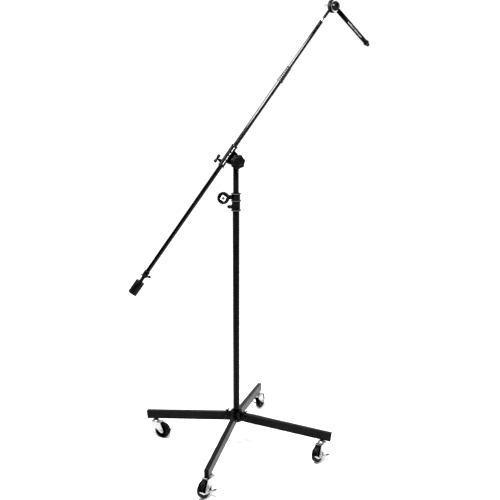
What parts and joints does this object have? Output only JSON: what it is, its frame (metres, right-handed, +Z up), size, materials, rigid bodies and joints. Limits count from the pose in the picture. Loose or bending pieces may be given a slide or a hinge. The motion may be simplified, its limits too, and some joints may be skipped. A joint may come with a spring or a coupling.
{
  "type": "boom microphone stand",
  "caption": "Rolling boom microphone stand: cross base on braked swivel casters, telescopic mast, tilting telescopic boom with counterweight, and a clutch arm ending in a microphone thread.",
  "frame": {"origin": "on the floor under the mast's axis", "axes": "+Z up along the mast; +X the way the boom leans up; -Y the side its knobs face"},
  "size_m": [1.1242, 0.8521, 2.0088],
  "materials": {
    "powder_black": "semi-gloss black powder coat",
    "leg_black": "textured black powder coat",
    "cast_black": "black painted casting",
    "zinc": "bright zinc plate",
    "chrome": "bright chrome",
    "wheel_black": "moulded black wheel",
    "knob_black": "moulded black knob",
    "black_steel": "black oxide",
    "bush": "nylon",
    "arm_black": "black anodised",
    "gloss_black": "glossy black",
    "pale_strip": "printed plain strip"
  },
  "bodies": {
    "base": {"hub": "cast_black", "leg_1": "leg_black", "leg_2": "leg_black", "leg_3": "leg_black", "leg_4": "leg_black", "leg_caps": "knob_black", "leg_bolts": "black_steel", "caster_stems": "zinc", "lower_mast": "powder_black", "height_collar": "cast_black"},
    "leg_lock_1": {"thumb_bolt_1": "black_steel"},
    "leg_lock_2": {"thumb_bolt_2": "black_steel"},
    "leg_lock_3": {"thumb_bolt_3": "black_steel"},
    "leg_lock_4": {"thumb_bolt_4": "black_steel"},
    "caster_1": {"fork_1": "zinc", "axle_1": "zinc"},
    "caster_wheel_1": {"wheel_1": "wheel_black"},
    "caster_brake_1": {"brake_1": "zinc"},
    "caster_2": {"fork_2": "zinc", "axle_2": "zinc"},
    "caster_wheel_2": {"wheel_2": "wheel_black"},
    "caster_brake_2": {"brake_2": "zinc"},
    "caster_3": {"fork_3": "zinc", "axle_3": "zinc"},
    "caster_wheel_3": {"wheel_3": "wheel_black"},
    "caster_brake_3": {"brake_3": "zinc"},
    "caster_4": {"fork_4": "zinc", "axle_4": "zinc"},
    "caster_wheel_4": {"wheel_4": "wheel_black"},
    "caster_brake_4": {"brake_4": "zinc"},
    "height_lock": {"height_knob": "knob_black", "knob_label": "pale_strip"},
    "pin": {"safety_pin": "black_steel"},
    "mast": {"upper_mast": "powder_black", "mast_foot": "bush"},
    "head": {"mast_head": "cast_black", "pivot_bolt": "black_steel", "head_washer": "zinc"},
    "boom_lock": {"pivot_knob": "knob_black"},
    "clamp": {"boom_clamp": "cast_black", "lock_washer": "zinc", "clamp_strip": "pale_strip"},
    "slide_lock": {"t_screw": "black_steel"},
    "boom": {"outer_boom": "powder_black", "boom_end": "cast_black"},
    "grip": {"twist_grip": "knob_black"},
    "inner": {"inner_boom": "powder_black", "boom_foot": "bush", "ferrule": "chrome"},
    "weight": {"weight_neck": "black_steel", "counterweight": "powder_black"},
    "weight_lock": {"wing_screw": "black_steel"},
    "clutch": {"clutch_back": "cast_black"},
    "clutch_lock": {"tension_knob": "chrome"},
    "arm": {"upper_arm": "arm_black", "trim_ring": "chrome", "dome_cap": "gloss_black", "arm_strip": "pale_strip", "mic_stud": "zinc"}
  },
  "joints": [
    {"name": "mast_slide", "type": "slide", "parent": "base", "child": "mast", "axis": [0, 0, 1], "range_m": [-0.08, 0.6]},
    {"name": "head_turn", "type": "hinge", "parent": "mast", "child": "head", "pos_m": [0, 0, 1.34], "axis": [0, 0, 1], "continuous": true},
    {"name": "boom_tilt", "type": "hinge", "parent": "head", "child": "clamp", "pos_m": [0, -0.015, 1.34], "axis": [0, -1, 0], "range_deg": [-64, 12]},
    {"name": "boom_slide", "type": "slide", "parent": "clamp", "child": "boom", "axis": [0.5878, 0, 0.809], "range_m": [-0.3, 0.5]},
    {"name": "inner_slide", "type": "slide", "parent": "boom", "child": "inner", "axis": [0.5878, 0, 0.809], "range_m": [-0.21, 0.27]},
    {"name": "shank_turn", "type": "hinge", "parent": "inner", "child": "clutch", "pos_m": [0.37269, -0.015, 1.92953], "axis": [0.5878, 0, 0.809], "range_deg": [-180, 180]},
    {"name": "arm_hinge", "type": "hinge", "parent": "clutch", "child": "arm", "pos_m": [0.4227, 0.00803, 1.98176], "axis": [0.5446, -0.8387, 0], "range_deg": [-50, 92]},
    {"name": "weight_slide", "type": "slide", "parent": "boom", "child": "weight", "axis": [-0.5878, 0, -0.809], "range_m": [-0.018, 0.06]},
    {"name": "safety_pin_pull", "type": "slide", "parent": "base", "child": "pin", "axis": [-0.9781, 0.2079, 0], "range_m": [0, 0.008], "stiffness_N_per_m": 500, "springref_m": -0.004},
    {"name": "height_knob_turn", "type": "hinge", "parent": "base", "child": "height_lock", "pos_m": [-0.05331, 0.01133, 1.1845], "axis": [-0.2079, -0.9781, 0], "range_deg": [0, 270]},
    {"name": "pivot_knob_turn", "type": "hinge", "parent": "head", "child": "boom_lock", "pos_m": [0, -0.03, 1.34], "axis": [0, -1, 0], "range_deg": [0, 270]},
    {"name": "t_screw_turn", "type": "hinge", "parent": "clamp", "child": "slide_lock", "pos_m": [-0.07492, -0.015, 1.34746], "axis": [-0.809, 0, 0.5878], "range_deg": [0, 180]},
    {"name": "twist_grip_turn", "type": "hinge", "parent": "boom", "child": "grip", "pos_m": [0.20811, -0.015, 1.703], "axis": [0.5878, 0, 0.809], "range_deg": [0, 120]},
    {"name": "wing_screw_turn", "type": "hinge", "parent": "boom", "child": "weight_lock", "pos_m": [-0.40142, -0.035, 0.86405], "axis": [0, -1, 0], "range_deg": [0, 180]},
    {"name": "tension_knob_turn", "type": "hinge", "parent": "clutch", "child": "clutch_lock", "pos_m": [0.40636, 0.03319, 1.98176], "axis": [-0.5446, 0.8387, 0], "range_deg": [0, 270]},
    {"name": "caster_1_swivel", "type": "hinge", "parent": "base", "child": "caster_1", "pos_m": [0.35613, -0.18936, 0.08], "axis": [0, 0, 1], "continuous": true},
    {"name": "wheel_1_spin", "type": "hinge", "parent": "caster_1", "child": "caster_wheel_1", "pos_m": [0.32938, -0.21345, 0.038], "axis": [0.6691, -0.7431, 0], "continuous": true},
    {"name": "brake_1_press", "type": "hinge", "parent": "caster_1", "child": "caster_brake_1", "pos_m": [0.32194, -0.22014, 0.0295], "axis": [-0.6691, 0.7431, 0], "range_deg": [0, 6]},
    {"name": "caster_2_swivel", "type": "hinge", "parent": "base", "child": "caster_2", "pos_m": [0.18936, 0.35613, 0.08], "axis": [0, 0, 1], "continuous": true},
    {"name": "wheel_2_spin", "type": "hinge", "parent": "caster_2", "child": "caster_wheel_2", "pos_m": [0.21052, 0.38525, 0.038], "axis": [-0.809, 0.5878, 0], "continuous": true},
    {"name": "brake_2_press", "type": "hinge", "parent": "caster_2", "child": "caster_brake_2", "pos_m": [0.2164, 0.39334, 0.0295], "axis": [0.809, -0.5878, 0], "range_deg": [0, 6]},
    {"name": "caster_3_swivel", "type": "hinge", "parent": "base", "child": "caster_3", "pos_m": [-0.35613, 0.18936, 0.08], "axis": [0, 0, 1], "continuous": true},
    {"name": "wheel_3_spin", "type": "hinge", "parent": "caster_3", "child": "caster_wheel_3", "pos_m": [-0.327, 0.1682, 0.038], "axis": [0.5878, 0.809, 0], "continuous": true},
    {"name": "brake_3_press", "type": "hinge", "parent": "caster_3", "child": "caster_brake_3", "pos_m": [-0.31892, 0.16232, 0.0295], "axis": [-0.5878, -0.809, 0], "range_deg": [0, 6]},
    {"name": "caster_4_swivel", "type": "hinge", "parent": "base", "child": "caster_4", "pos_m": [-0.18936, -0.35613, 0.08], "axis": [0, 0, 1], "continuous": true},
    {"name": "wheel_4_spin", "type": "hinge", "parent": "caster_4", "child": "caster_wheel_4", "pos_m": [-0.21611, -0.38022, 0.038], "axis": [0.6691, -0.7431, 0], "continuous": true},
    {"name": "brake_4_press", "type": "hinge", "parent": "caster_4", "child": "caster_brake_4", "pos_m": [-0.22354, -0.38691, 0.0295], "axis": [-0.6691, 0.7431, 0], "range_deg": [0, 6]},
    {"name": "thumb_bolt_1_turn", "type": "hinge", "parent": "base", "child": "leg_lock_1", "pos_m": [0.03792, -0.02016, 0.17403], "axis": [0.0969, -0.0515, 0.994], "range_deg": [0, 180]},
    {"name": "thumb_bolt_2_turn", "type": "hinge", "parent": "base", "child": "leg_lock_2", "pos_m": [0.02016, 0.03792, 0.17403], "axis": [0.0515, 0.0969, 0.994], "range_deg": [0, 180]},
    {"name": "thumb_bolt_3_turn", "type": "hinge", "parent": "base", "child": "leg_lock_3", "pos_m": [-0.03792, 0.02016, 0.17403], "axis": [-0.0969, 0.0515, 0.994], "range_deg": [0, 180]},
    {"name": "thumb_bolt_4_turn", "type": "hinge", "parent": "base", "child": "leg_lock_4", "pos_m": [-0.02016, -0.03792, 0.17403], "axis": [-0.0515, -0.0969, 0.994], "range_deg": [0, 180]}
  ]
}
